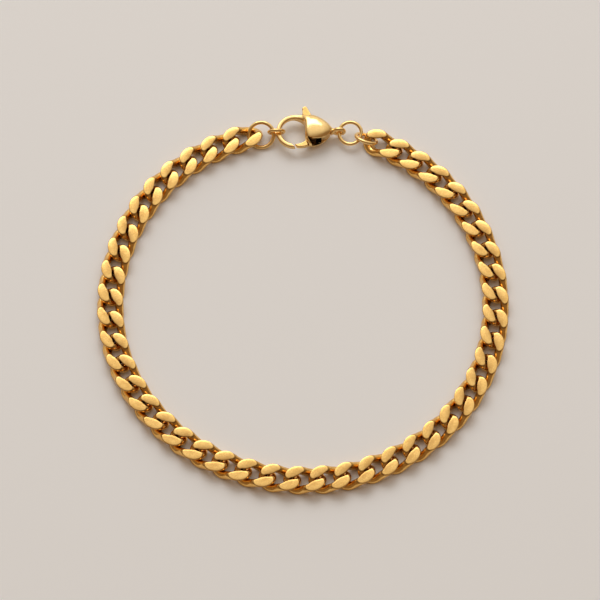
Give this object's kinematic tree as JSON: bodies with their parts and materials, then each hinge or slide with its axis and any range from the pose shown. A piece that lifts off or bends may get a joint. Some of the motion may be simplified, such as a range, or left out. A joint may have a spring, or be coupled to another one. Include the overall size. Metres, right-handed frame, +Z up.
{
  "type": "curb chain bracelet",
  "caption": "Closed curb link chain bracelet with a lobster claw clasp and round joining rings, lying flat in a loop.",
  "frame": {"origin": "middle of the outline of the closed loop, on the surface that it lies on", "axes": "+Z up from the surface, +Y towards the clasp, +X along the clasp from its hook to its eye"},
  "size_m": [0.0698, 0.0708, 0.0033],
  "materials": {
    "chain_gold": "polished",
    "clasp_gold": "polished"
  },
  "bodies": {
    "bracelet": {"link_01": "chain_gold", "link_02": "chain_gold", "link_03": "chain_gold", "link_04": "chain_gold", "link_05": "chain_gold", "link_06": "chain_gold", "link_07": "chain_gold", "link_08": "chain_gold", "link_09": "chain_gold", "link_10": "chain_gold", "link_11": "chain_gold", "link_12": "chain_gold", "link_13": "chain_gold", "link_14": "chain_gold", "link_15": "chain_gold", "link_16": "chain_gold", "link_17": "chain_gold", "link_18": "chain_gold", "link_19": "chain_gold", "link_20": "chain_gold", "link_21": "chain_gold", "link_22": "chain_gold", "link_23": "chain_gold", "link_24": "chain_gold", "link_25": "chain_gold", "link_26": "chain_gold", "link_27": "chain_gold", "link_28": "chain_gold", "link_29": "chain_gold", "link_30": "chain_gold", "link_31": "chain_gold", "link_32": "chain_gold", "link_33": "chain_gold", "link_34": "chain_gold", "link_35": "chain_gold", "link_36": "chain_gold", "link_37": "chain_gold", "link_38": "chain_gold", "link_39": "chain_gold", "link_40": "chain_gold", "link_41": "chain_gold", "link_42": "chain_gold", "link_43": "chain_gold", "link_44": "chain_gold", "end_ring": "clasp_gold", "connector_ring": "clasp_gold", "jump_ring": "clasp_gold", "upright_ring": "clasp_gold", "clasp_body": "clasp_gold", "clasp_pin": "clasp_gold"},
    "lever": {"clasp_lever": "clasp_gold"}
  },
  "joints": [
    {"name": "lever_hinge", "type": "hinge", "parent": "bracelet", "child": "lever", "pos_m": [0.00171, 0.02982, 0.0016], "axis": [0, 0, -1], "range_deg": [0, 25], "stiffness_Nm_per_rad": 0.002, "springref_deg": -20.05}
  ]
}
